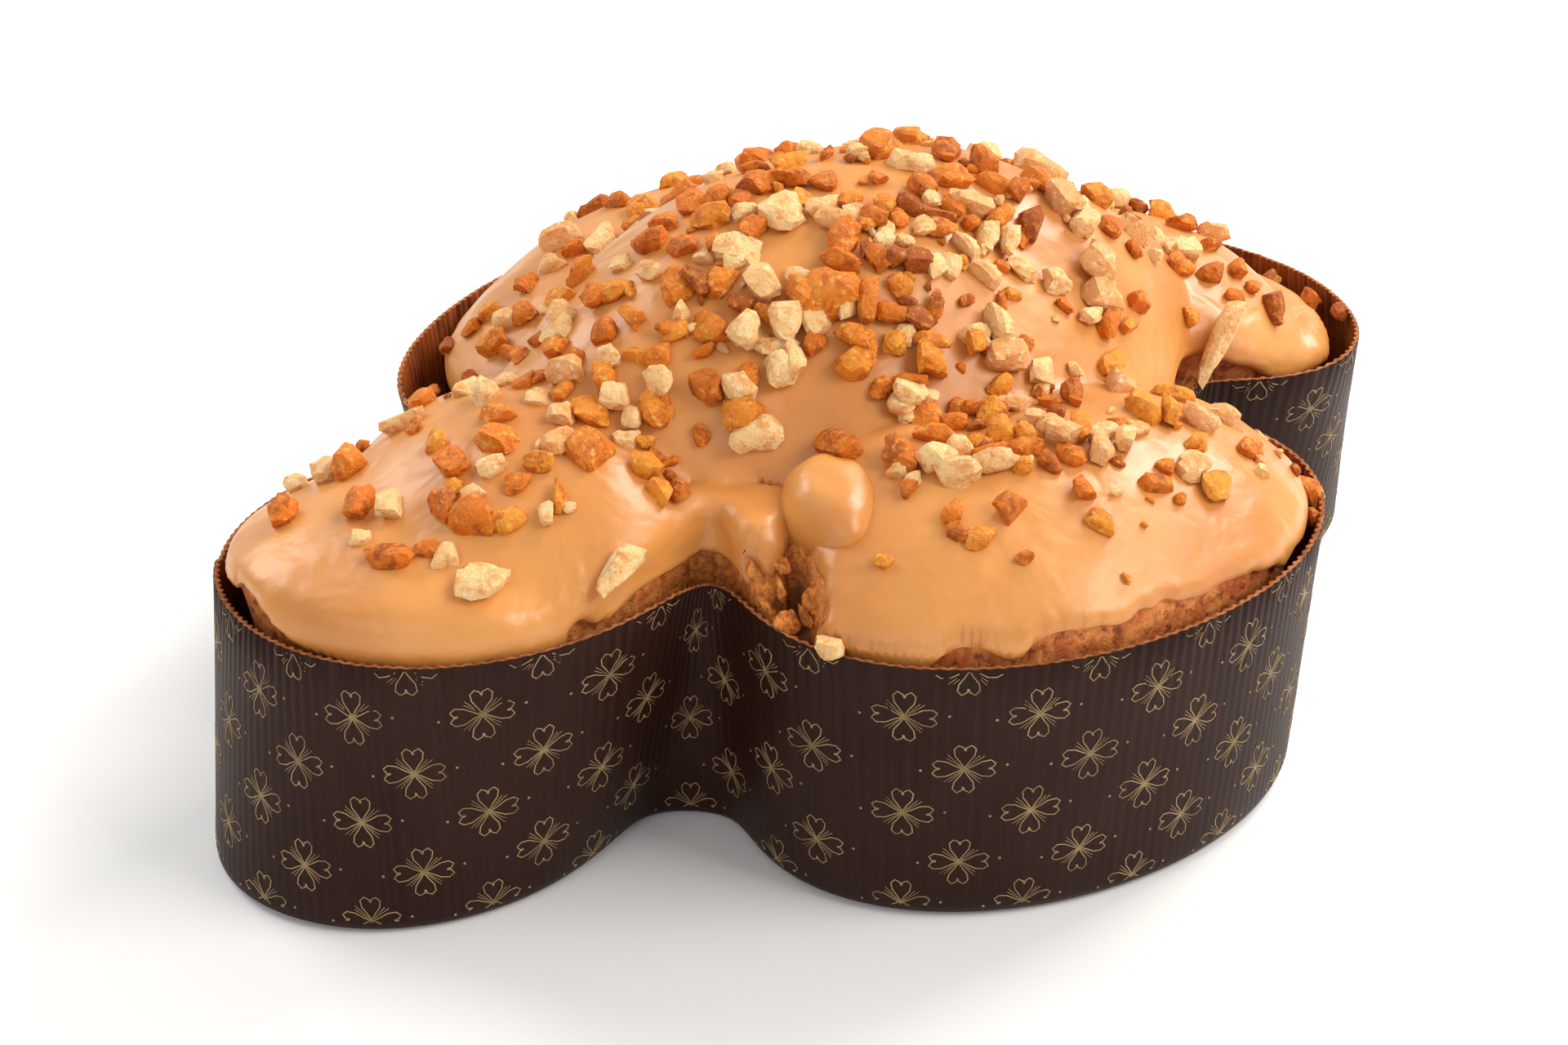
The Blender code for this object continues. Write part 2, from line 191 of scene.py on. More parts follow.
# The case's box in the solids is centred over the origin, so the drawing is moved there.
boxLow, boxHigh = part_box("paper_case")
edges = np.vstack([outline(footLobes, 720), outline(rimLobes, 720)])
drawnMiddle = (edges.min(0) + edges.max(0)) / 2
solidMiddle = np.array([(boxLow.x + boxHigh.x) / 2, (boxLow.y + boxHigh.y) / 2]) / mm
shift = np.array([*(solidMiddle - drawnMiddle), boxLow.z / mm])
print("shape ready, moved by", shift.round(2))


class Value:  # a number or colour that varies over a surface, as an output of a node
    def __init__(self, paint, socket):
        self.paint, self.socket = paint, socket

    def __add__(self, other):
        return self.paint.maths("ADD", self, other)

    def __rsub__(self, other):
        return self.paint.maths("SUBTRACT", other, self)

    def __mul__(self, other):
        return self.paint.maths("MULTIPLY", self, other)

    __radd__, __rmul__ = __add__, __mul__


class Paint:  # one material and its nodes
    def __init__(self, name):
        self.material = bpy.data.materials.new(name)
        self.material.use_nodes = True
        self.tree = self.material.node_tree
        self.shader = self.tree.nodes["Principled BSDF"]

    def node(self, kind, settings, sockets, output=0):
        made = self.tree.nodes.new(kind)
        for key, value in settings.items():
            setattr(made, key, value)
        for key, value in sockets.items():
            self.feed(made.inputs[key], value)
        return Value(self, made.outputs[output])

    def feed(self, socket, value):
        if isinstance(value, Value):
            self.tree.links.new(value.socket, socket)
        else:
            socket.default_value = value

    def maths(self, operation, first, second):
        return self.node("ShaderNodeMath", {"operation": operation}, {0: first, 1: second})

    def place(self):
        return self.node("ShaderNodeTexCoord", {}, {}, "Object")

    def attribute(self, name):
        return self.node("ShaderNodeAttribute", {"attribute_name": name}, {}, "Fac")

    def noise(self, size, detail=2.0, roughness=0.5, warp=0.0, vector=None):  # size in mm
        sockets = {"Vector": vector or self.place(), "Scale": 1000.0 / size, "Detail": detail,
                   "Roughness": roughness, "Distortion": warp}
        return self.node("ShaderNodeTexNoise", {}, sockets, "Fac")

    def band(self, value, low, high):  # 0 below low, 1 above high
        return self.node("ShaderNodeMapRange", {"interpolation_type": "SMOOTHSTEP"},
                         {"Value": value, "From Min": low, "From Max": high})

    def mix(self, mask, first, second, blend="MIX"):
        return self.node("ShaderNodeMix", {"data_type": "RGBA", "blend_type": blend},
                         {0: mask, 6: first, 7: second}, 2)

    def bump(self, height, distance, strength):  # distance in mm
        return self.node("ShaderNodeBump", {}, {"Height": height, "Distance": distance * mm,
                                                "Strength": strength}, "Normal")

    def finish(self, sockets):
        for name, value in sockets.items():
            self.feed(self.shader.inputs[name], value)
        return self.material


def rgb(red, green, blue):  # a colour as a picture gives it, 0 to 255, made linear
    parts = [c / 255 for c in (red, green, blue)]
    return (*[c / 12.92 if c < 0.04045 else ((c + 0.055) / 1.055) ** 2.4 for c in parts], 1.0)


def added(name, data):
    made = bpy.data.objects.new(name, data)
    bpy.context.scene.collection.objects.link(made)
    return made


def meshOf(name, work):
    mesh = bpy.data.meshes.new(name)
    work.to_mesh(mesh)
    work.free()
    return mesh


def finishPiece(name, work, material, node=None, sharp=None):
    # from mm in the drawing to metres in the frame, then onto the body
    for vert in work.verts:
        vert.co = (vert.co + Vector(shift)) * mm
    mesh = meshOf(name, work)
    mesh.shade_smooth()
    if sharp:
        mesh.set_sharp_from_angle(angle=math.radians(sharp))
    mesh.materials.append(material)
    piece = added(name, mesh)
    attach(piece, "root")
    if node:
        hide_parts(node)
    print(name, len(mesh.polygons), "faces")
    return piece


def coordinates(verts):
    return np.array([vert.co for vert in verts])


def moveTo(verts, points):
    for vert, point in zip(verts, points):
        vert.co = point


# Camera, light and floor
view = {
    "place": (-270.39, -359.0, 282.37),  # mm, in the drawing
    "turn": 35.33,  # degrees
    "pitch": 29.37,
    "lens": 52.5,
    "worldStrength": 0.52,
    "worldColour": (1.0, 0.99, 0.98, 1.0),
    "floorColour": (0.9, 0.895, 0.885, 1.0),
    # name: place in m, size in m, power in W, colour
    "lamps": {
        "frontRight": ((0.45, -0.7, 0.75), 0.6, 7.5, (1.0, 0.97, 0.93)),
        "backRight": ((0.8, 0.1, 0.75), 0.5, 9.5, (1.0, 0.96, 0.9)),
        "backLeft": ((-0.35, 0.85, 0.7), 0.6, 5.6, (1.0, 0.99, 0.97)),
        "frontLeft": ((-0.9, -0.5, 0.6), 0.8, 2.5, (1.0, 0.98, 0.96)),
    },
}


def makeStage():
    data = bpy.data.cameras.new("camera")
    data.lens, data.clip_start = view["lens"], 0.01
    camera = added("camera", data)
    camera.location = (Vector(view["place"]) + Vector(shift)) * mm
    camera.rotation_euler = (math.radians(90 - view["pitch"]), 0, -math.radians(view["turn"]))
    bpy.context.scene.camera = camera
    for name, (place, size, power, colour) in view["lamps"].items():
        lamp = bpy.data.lights.new(name, "AREA")
        lamp.size, lamp.energy, lamp.color = size, power, colour
        made = added(name, lamp)
        made.location = place
        made.rotation_euler = (Vector((0, 0, 0.05)) - Vector(place)).to_track_quat("-Z", "Y").to_euler()
    world = bpy.data.worlds.new("world")
    world.use_nodes = True
    glow = world.node_tree.nodes["Background"].inputs
    glow["Color"].default_value, glow["Strength"].default_value = view["worldColour"], view["worldStrength"]
    bpy.context.scene.world = world
    bpy.context.scene.view_settings.view_transform = "Standard"
    work = bmesh.new()
    bmesh.ops.create_grid(work, x_segments=1, y_segments=1, size=4.0)
    floor = added("floor", meshOf("floor", work))
    paper = Paint("floorPaper").finish({"Base Color": view["floorColour"], "Roughness": 0.9})
    floor.data.materials.append(paper)


makeStage()
print("stage ready")


# The paper case: fluted paper, satin brown outside and bare brown inside
case = {
    "fluteWidth": 2.35,
    "pointsPerFlute": 6,
    "outerFlute": 0.035,
    "outerFluteAtRim": 0.13,
    "innerFlute": 0.32,
    "paper": 0.9,
    "footRound": 3.0,
    "wallRows": 9,
    "wave": 0.5,  # slow unevenness of the wall
    "seamAt": -20.0,  # mm along the foot from the head's tip
    "seamStep": 0.6,
    "seamRun": 46.0,
    "outside": rgb(42, 22, 15),
    "outsideWarm": rgb(36, 15, 9),
    "outsidePale": rgb(60, 36, 27),
    "inside": rgb(140, 70, 29),
    # the inside paper's colour in shade: painted shade, laid in patches by noise
    "insideShade": rgb(80, 32, 12),
    "insidePale": rgb(182, 104, 52),
    "cutEdge": rgb(176, 112, 66),
}


class Wall:  # the case's wall: any point by its way along the foot and its height
    def __init__(self):
        rough = outline(footLobes, 720)
        self.around = np.hypot(*np.diff(np.vstack([rough, rough[:1]]), axis=0).T).sum()
        self.count = round(self.around / case["fluteWidth"]) * case["pointsPerFlute"]
        self.rows = case["wallRows"]
        self.foot = outline(footLobes, self.count)
        loops, outs = [self.foot], [outward(self.foot, footLobes)]
        for row in range(1, self.rows + 1):
            lobes = mixedLobes(dove["foot"], dove["rim"], row / self.rows)
            loops.append(settled(loops[-1], lobes))
            outs.append(outward(loops[-1], lobes))
        self.tables = np.array(loops), np.array(outs)

    def sheet(self, column, share):  # place in plan and outward direction
        row = np.clip(share, 0, 1) * self.rows
        low = np.minimum(row.astype(int), self.rows - 1)
        left = np.floor(column).astype(int) % self.count
        right = (left + 1) % self.count
        a, b = (row - low)[:, None], (column - np.floor(column))[:, None]
        found = []
        for table in self.tables:
            lower = table[low, left] * (1 - b) + table[low, right] * b
            upper = table[low + 1, left] * (1 - b) + table[low + 1, right] * b
            found.append(lower * (1 - a) + upper * a)
        return found[0], unit(found[1])

    def point(self, column, share, inset, flute):  # inset from the outer face, flute height on that face
        plan, out = self.sheet(column, share)
        along = column / self.count * self.around
        angle = column / self.count * math.tau
        spot = np.stack([np.cos(angle) * 150, np.sin(angle) * 150, share * 60], 1)
        wave = ripple(spot, 38, 5) * case["wave"] * (0.3 + 0.7 * share)
        past = (along - case["seamAt"]) % self.around
        seam = case["seamStep"] * (1 - smoothStep(0, case["seamRun"], past))
        ridge = np.cos(column / case["pointsPerFlute"] * math.tau) * flute
        plan = plan + out * (wave + seam + ridge - inset)[:, None]
        return np.column_stack([plan, share * dove["wallHeight"]])


wall = Wall()


def outerFluteAt(share):  # the flutes are deeper near the rim
    rise = smoothStep(0.75, 1.0, share)
    return case["outerFlute"] * (1 - rise) + case["outerFluteAtRim"] * rise


def paperPaint():
    paint = Paint("printedPaper")
    inner, cut, along = (paint.attribute(name) for name in ("inside", "cutEdge", "along"))
    stretched = paint.node("ShaderNodeCombineXYZ", {}, {"X": along})
    streaks = paint.noise(1.6, 3.0, 0.6, vector=stretched)
    slow = paint.noise(34)
    outer = paint.mix(paint.band(slow, 0.35, 0.65), case["outside"], case["outsideWarm"])
    outer = paint.mix(paint.band(streaks, 0.3, 0.75) * 0.35, outer, case["outsidePale"])
    # painted shade: noise patches of the inside paper's shaded colour over its own colour
    shadePatches = paint.band(paint.noise(13, 4.0, 0.6), 0.42, 0.62)
    bare = paint.mix(shadePatches, case["inside"], case["insideShade"])
    bare = paint.mix(paint.band(streaks, 0.35, 0.7) * 0.5, bare, case["insidePale"])
    colour = paint.mix(inner, outer, bare)
    fibre = paint.band(paint.noise(1.1, 3.0), 0.35, 0.65)
    colour = paint.mix(cut * (0.35 + 0.65 * fibre), colour, case["cutEdge"])
    sheen = 0.34 + 0.14 * slow + 0.1 * streaks + 0.22 * inner + 0.2 * cut
    fine = paint.noise(0.5, 4.0, 0.6)
    bumped = paint.bump(fine + streaks * 0.8, 0.05, 0.6)
    return paint.finish({"Base Color": colour, "Roughness": sheen, "Normal": bumped,
                         "Specular IOR Level": 0.11})


def makeCase():
    paper, foot = case["paper"], case["footRound"]
    height = dove["wallHeight"]
    shares = np.linspace(0, 1, wall.rows + 1)
    shares[0] = foot / height
    # share of the height, inset, own height, flute, inside, cut edge
    rows = [(0.0, foot * (1 - math.sin(math.radians(t))), foot * (1 - math.cos(math.radians(t))), 0.0, 0, 0)
            for t in (0, 30, 60)]
    rows += [(share, 0.0, share * height, outerFluteAt(share), 0, 0) for share in shares]
    rows.append((1.0, 0.1, height + 0.08, case["outerFluteAtRim"], 0.5, 1))
    rows.append((1.0, paper - 0.1, height + 0.08, case["innerFlute"], 0.5, 1))
    rows += [(share, paper, share * height, case["innerFlute"], 1, 0) for share in shares[::-1]]
    rows.append((0.0, paper + foot * 0.3, foot * 0.5 + 0.3, 0.1, 1, 0))
    rows.append((0.0, paper + foot, paper, 0.0, 1, 0))
    work = bmesh.new()
    layers = [work.verts.layers.float.new(name) for name in ("inside", "cutEdge", "along")]
    made = bmesh.ops.create_grid(work, x_segments=wall.count, y_segments=len(rows) - 1, size=1.0)["verts"]
    flat = coordinates(made)
    column = np.rint((flat[:, 0] + 1) / 2 * wall.count)
    row = np.rint((flat[:, 1] + 1) / 2 * (len(rows) - 1)).astype(int)
    share, inset, z, flute, inner, cut = (np.array(part)[row] for part in zip(*rows))
    points = wall.point(column % wall.count, share, inset, flute)
    chips = ripple(column[:, None] * 0.5, 3.0, 11)
    points[:, 2] = z + np.where(cut > 0, chips * 0.12, 0)
    for vert, a, b, c in zip(made, inner, cut, column / wall.count * wall.around * mm):
        vert[layers[0]], vert[layers[1]], vert[layers[2]] = a, b, c
    moveTo(made, points)
    bmesh.ops.remove_doubles(work, verts=[v for v in work.verts if v.is_boundary], dist=0.01)
    loops = [e for e in work.edges if e.is_boundary]
    lower = [e for e in loops if e.verts[0].co.z < 0.5]
    for part in (lower, [e for e in loops if e not in set(lower)]):
        bmesh.ops.contextual_create(work, geom=part)
    bmesh.ops.recalc_face_normals(work, faces=work.faces)
    finishPiece("paperCase", work, paperPaint(), "paper_case", 60)


# The print: thin line drawings of a four-leaf clover, in rows that are offset by half a step
clover = {
    "radius": 5.7,
    "line": 0.23,
    "fine": 0.12,
    "leafWidth": 0.37,
    "leafPoints": 15,
    # number of a column and where it is, in mm along the foot from the head's tip
    "columns": ((-1, 0, 3, 6, 40), (-5.7, 17.6, 87.5, 169.5, 965.1)),
    "oddColumn": 10.6,  # from a column to the half-step column after it
    "ups": ((3.6, 26.3, 49.0), (14.6, 37.3, 60.0)),
    "dotReach": 7.6,
    "dotRadius": 0.3,
    "proud": 0.07,
    "thick": 0.06,
    "numbers": (-1, 40),
    "heights": (2.5, 59.7),  # of the wall, within which whole lines are kept
    "gold": rgb(158, 132, 88),
    "goldDark": rgb(122, 98, 62),
}


def addStrip(work, path, width):  # a flat strip along a path in plan
    path = np.array(path)
    made = bmesh.ops.create_grid(work, x_segments=len(path) - 1, y_segments=1, size=1.0)["verts"]
    flat = coordinates(made)
    index = np.rint((flat[:, 0] + 1) / 2 * (len(path) - 1)).astype(int)
    way = unit(np.gradient(path, axis=0))
    side = np.stack([-way[:, 1], way[:, 0]], 1)
    place = path[index] + side[index] * (flat[:, 1] * width / 2)[:, None]
    moveTo(made, np.column_stack([place, np.zeros(len(place))]))


def cloverMesh():
    work = bmesh.new()
    radius = clover["radius"]
    t = np.linspace(0.08, math.tau - 0.08, clover["leafPoints"])
    rise = (13 * np.cos(t) - 5 * np.cos(2 * t) - 2 * np.cos(3 * t) - np.cos(4 * t) + 17) / 29
    leaf = np.stack([clover["leafWidth"] * np.sin(t) ** 3 * (0.75 + 0.25 * rise), rise * 0.98], 1)
    tick = np.array([(0.0, 0.86), (0.03, 0.8), (0.02, 0.74)])
    ray = np.array([(0.0, 0.05), (0.0, 0.5), (0.0, 0.8)])
    for quarter in range(4):
        for path, turn, width in ((leaf, 0, "line"), (tick, 0, "line"), (ray, 41, "fine"),
                                  (ray * 0.9, 50, "fine")):
            turned = np.stack(turnedFrom(path, 0, 0, -quarter * 90 - turn), 1)
            addStrip(work, turned * radius, clover[width])
    for side in (-1, 1):
        dot = bmesh.ops.create_circle(work, cap_ends=True, segments=6, radius=clover["dotRadius"])["verts"]
        bmesh.ops.translate(work, verts=dot, vec=(side * clover["dotReach"], radius * 0.1 * side, 0))
    return meshOf("cloverShape", work)


def makePrint():
    shape = cloverMesh()
    work = bmesh.new()
    last = wall.around + case["seamAt"] - clover["radius"]
    for number in range(*clover["numbers"]):
        column = np.interp(number, *clover["columns"])
        for along, ups in zip((column, column + clover["oddColumn"]), clover["ups"]):
            for up in ups if along < last else ():
                before = len(work.verts)
                work.from_mesh(shape)
                work.verts.ensure_lookup_table()
                bmesh.ops.translate(work, verts=work.verts[before:], vec=(along, up, 0))
    low, high = clover["heights"]
    beyond = [f for f in work.faces if any(not low < v.co.y < high for v in f.verts)]
    bmesh.ops.delete(work, geom=beyond, context="FACES")
    flat = coordinates(work.verts)
    share = flat[:, 1] / dove["wallHeight"]
    column = flat[:, 0] / wall.around * wall.count % wall.count
    moveTo(work.verts, wall.point(column, share, -clover["proud"], outerFluteAt(share)))
    paint = Paint("goldPrint")
    worn = paint.band(paint.noise(5, 3.0, 0.6), 0.35, 0.7)
    colour = paint.mix(worn, clover["gold"], clover["goldDark"])
    material = paint.finish({"Base Color": colour, "Roughness": 0.45 + 0.15 * worn, "Metallic": 0.1})
    piece = finishPiece("goldPrint", work, material)
    thick = piece.modifiers.new("Thickness", "SOLIDIFY")
    thick.thickness, thick.offset = clover["thick"] * mm, -1


# The cake: a browned crust, torn open between the head and the near wing, under a coat of glaze
cake = {
    "cell": 1.3,
    "sideHeights": (52, 44, 34, 20, 8, 1.6),
    "sideInset": (1.2, 4.5),  # from the case's foot line, and how much more at the bottom
    "turnRadius": 4.0,  # of the shoulder, where there is room for it
    "coatRoom": 2.2,  # kept free for the glaze between the shoulder and the case
    "paperRoom": 0.4,  # least gap to the paper, up to the heights where it ends
    "freeAbove": (60.6, 62.4),
    "undulation": (0.9, 34, 0.35, 13),  # height and size of the slow and the quick unevenness
    "crustRough": 0.22,
    "fluteMark": 0.5,  # the case's flutes, printed in the crust
    "notch": (-74, -54, 13),  # between the head and the near wing: x, y, radius
    # x, y, radius, rise: swellings and hollows of the skin
    "swellings": ((31, -36, 11, -2.4), (20, -28, 9, -1.6), (44, -30, 14, 2.2), (0, -30, 9, 1.6),
                  (-14, -26, 9, 2.0), (62, -26, 12, 1.8), (-30, -50, 9, 2.0), (-44, -20, 10, -1.0),
                  (-38, -50, 10, 3.0), (-51, -36, 9, 3.5), (-27, -58, 6, 1.6), (-84, -40, 9, 1.5),
                  (76, -30, 10, 1.6)),
    # a squarish fold: x, y, level it starts from, half sizes, rise, turn, squareness
    "fold": (-59.0, -45.5, 59.0, 10.0, 11.5, 13.5, 24, 4.0),
    "foldBlend": 3.2,
    # the torn opening: x, y, half length, half width, turn, depth
    "tear": (-60.5, -67, 11, 4.6, 58, 15),
    "crumbSpots": ((-66, -60, 8), (-98, -51, 7), (-72, -51, 7), (-85, -52, 6)),
    # crumbs in the opening: x, y, z, radius
    "crumbs": ((-54, -63, 66.5, 2.2), (-55, -66, 64.5, 1.8), (-56.5, -69, 62.5, 2.4), (-58, -72, 61, 1.9),
               (-62, -64, 64, 1.7), (-64, -69, 60.5, 2.0), (-59, -60, 67, 1.7), (-60, -69, 60.5, 1.6),
               (-55.5, -72, 61, 1.5), (-53, -60.5, 68, 1.6)),
    "crust": rgb(236, 146, 74),
    "crustDark": rgb(120, 54, 20),
    "crustRed": rgb(206, 106, 46),
    "crumb": rgb(240, 146, 60),
    # dark flecks in the crumb, and painted shade at the bottom of the torn opening
    "crumbFleckAndPitShade": rgb(60, 22, 7),
}
glaze = {
    "cell": 1.15,
    "thick": 2.0,
    "reach": 6.5,  # how far over the shoulder it runs
    "ragged": (1.3, 9, 0.8, 4),  # height and size of its edge's unevenness
    # x, y, radius, how much further it runs: less than 0 where crust shows, over 0 at drips
    "bare": ((-146, -10, 7, -5), (-97, -50, 7, -5.5), (-62.5, -60, 7.5, -9.5), (-58, -68, 5, -4),
             (-46, -97, 7, -5), (-30, -106, 12, -5.5), (-8, -110, 13, -4.5), (12, -107, 10, -4)),
    "drips": ((-98, -47, 24, 4.5), (-128, -38, 14, 4.5), (-74, -48, 7, 4.5), (-74, -49, 7, 5),
              (-66, -44, 6, 6.5), (-138, -26, 12, 4), (-54, -88, 8, 3), (-90, -52, 2.2, 4),
              (-101, -52, 3, 2), (30, -105, 3, 2.5), (-38, -103, 2.5, 3)),
    # a swelling over torn dough: centre, half sizes, turn, way of its tip and how far that reaches out
    "egg": ((-45.0, -56.5, 73.0), (12.0, 9.4, 10.0), 55, (-0.97, -0.24, 0.1), 0.32),
    "pale": rgb(216, 148, 78),
    "deep": rgb(198, 128, 62),
    "thin": rgb(176, 98, 44),
}


def skinHeight(points):
    height = domeHeight(points)
    slow, slowSize, quick, quickSize = cake["undulation"]
    height = height + slow * ripple(points, slowSize, 3) + quick * ripple(points, quickSize, 4)
    for x, y, radius, rise in cake["swellings"]:
        height = height + rise * bumpAt(points, x, y, radius)
    x0, y0, level, length, width, rise, turn, square = cake["fold"]
    u, v = turnedFrom(points, x0, y0, turn)
    within = 1 - np.abs(u / length) ** square - np.abs(v / width) ** square
    fold = level + rise * smoothStep(-0.7, 0.85, within)
    soft = cake["foldBlend"]
    return soft * np.logaddexp(height / soft, fold / soft)


def heldIn(place):  # keeps what lies below the rim clear of the paper
    room = outside(place[:, :2], rimLobes) + case["paper"] + case["innerFlute"] + cake["paperRoom"]
    low = 1 - smoothStep(*cake["freeAbove"], place[:, 2])
    move = outward(place[:, :2], rimLobes) * (np.clip(room, 0, None) * low)[:, None]
    return place - np.column_stack([move, np.zeros(len(place))])


def skinNormals(points):
    return unit(np.column_stack([-slopeOf(skinHeight, points, 0.6), np.ones(len(points))]))


def footOf(points):  # where each point of the plan leaves the top: itself, or the nearest edge point
    beyond = outside(points, doughLobes)
    edge = points.copy()
    over = beyond > 0
    edge[over] = settled(points[over], doughLobes)
    return edge, np.clip(beyond, 0, None)


def onSkin(points, lift):  # plan points to the cake's skin; those outside its outline run down its side
    edge, over = footOf(points)
    normal = skinNormals(edge)
    place = np.column_stack([edge, skinHeight(edge)])
    out = outward(edge, doughLobes)
    side = over > 0
    start = np.arctan2((normal[:, :2] * out).sum(1), normal[:, 2]).clip(0.1, 1.45)
    room = -outside(edge, rimLobes) - case["paper"] - case["innerFlute"] - cake["coatRoom"]
    radius = np.clip(room / (1 - np.sin(start)), 0.5, cake["turnRadius"])
    last = math.radians(93)
    arc = np.minimum(over / radius, last - start)
    straight = over - arc * radius
    angle = start + arc
    reach = radius * (np.sin(angle) - np.sin(start)) + straight * math.cos(last)
    drop = radius * (np.cos(start) - np.cos(angle)) + straight * math.sin(last)
    sideNormal = np.column_stack([out * np.sin(angle)[:, None], np.cos(angle)])
    sidePlace = place + np.column_stack([out * reach[:, None], -drop])
    place = np.where(side[:, None], sidePlace, place)
    normal = np.where(side[:, None], sideNormal, normal)
    return place + normal * np.broadcast_to(lift, len(points))[:, None], normal


def tearDepth(points):  # mm inside the torn opening's edge
    x0, y0, length, width, turn, _ = cake["tear"]
    edge = ripple(points, 4.0, 21) * 1.3 + ripple(points, 1.8, 22) * 0.6
    return -lobeDistance(points, (x0, y0, length, width, turn)) + edge


def glazeDepth(points):  # mm inside the glaze's edge
    high, size, fine, fineSize = glaze["ragged"]
    reach = glaze["reach"] + high * ripple(points, size, 31) + fine * ripple(points, fineSize, 32)
    for x, y, radius, more in glaze["bare"] + glaze["drips"]:
        reach = reach + more * bumpAt(points, x, y, radius)
    return np.minimum(reach - outside(points, doughLobes), -0.8 - tearDepth(points))


def sheetInside(work, depth, cell):  # a fine grid in plan, drawn to where depth is 0
    half = dove["sheetHalf"]
    cells = round(2 * half / cell)
    made = bmesh.ops.create_grid(work, x_segments=cells, y_segments=cells, size=half)["verts"]
    within = depth(coordinates(made)[:, :2]) > 0
    bmesh.ops.delete(work, geom=[v for v, keep in zip(made, within) if not keep], context="VERTS")
    loose = [v for v in work.verts if not v.link_faces]
    bmesh.ops.delete(work, geom=loose, context="VERTS")
    for _ in range(3):
        border = [v for v in work.verts if v.is_boundary]
        plan = coordinates(border)[:, :2]
        for _ in range(6):
            gradient = slopeOf(depth, plan, 0.1)
            move = gradient * (depth(plan) / ((gradient**2).sum(-1) + 0.05))[:, None]
            length = np.linalg.norm(move, axis=1)[:, None] + 1e-9
            plan = plan - move / length * np.minimum(length, cell)
        moveTo(border, np.column_stack([plan, np.zeros(len(plan))]))
        near = {n for v in border for e in v.link_edges for n in (e.other_vert(v),) if not n.is_boundary}
        near |= {e.other_vert(v) for v in near for e in v.link_edges}
        near = [v for v in near if not v.is_boundary]
        bmesh.ops.smooth_vert(work, verts=near, factor=0.5, use_axis_x=True, use_axis_y=True)


def crustPaint():
    paint = Paint("brownedCrust")
    torn, low = paint.attribute("torn"), paint.attribute("low")
    blotch = paint.band(paint.noise(6, 4.0, 0.6, 0.4), 0.38, 0.62)
    spots = paint.band(paint.noise(2.2, 3.0, 0.6), 0.5, 0.68)
    crust = paint.mix(blotch, cake["crust"], cake["crustRed"])
    crust = paint.mix(spots * 0.8, crust, cake["crustDark"])
    crumbs = paint.band(paint.noise(1.6, 5.0, 0.65, 0.6), 0.4, 0.6)
    crumb = paint.mix(crumbs * 0.55, cake["crumb"], cake["crumbFleckAndPitShade"])
    colour = paint.mix(torn, crust, crumb)
    # painted shade: darker towards the bottom of the torn opening
    colour = paint.mix(low, colour, cake["crumbFleckAndPitShade"])
    fine = paint.noise(0.8, 5.0, 0.7)
    bumped = paint.bump(fine + paint.noise(2.4, 3.0) * 1.5, 0.55, 0.9)
    return paint.finish({"Base Color": colour, "Roughness": 0.62 + 0.25 * torn, "Normal": bumped})


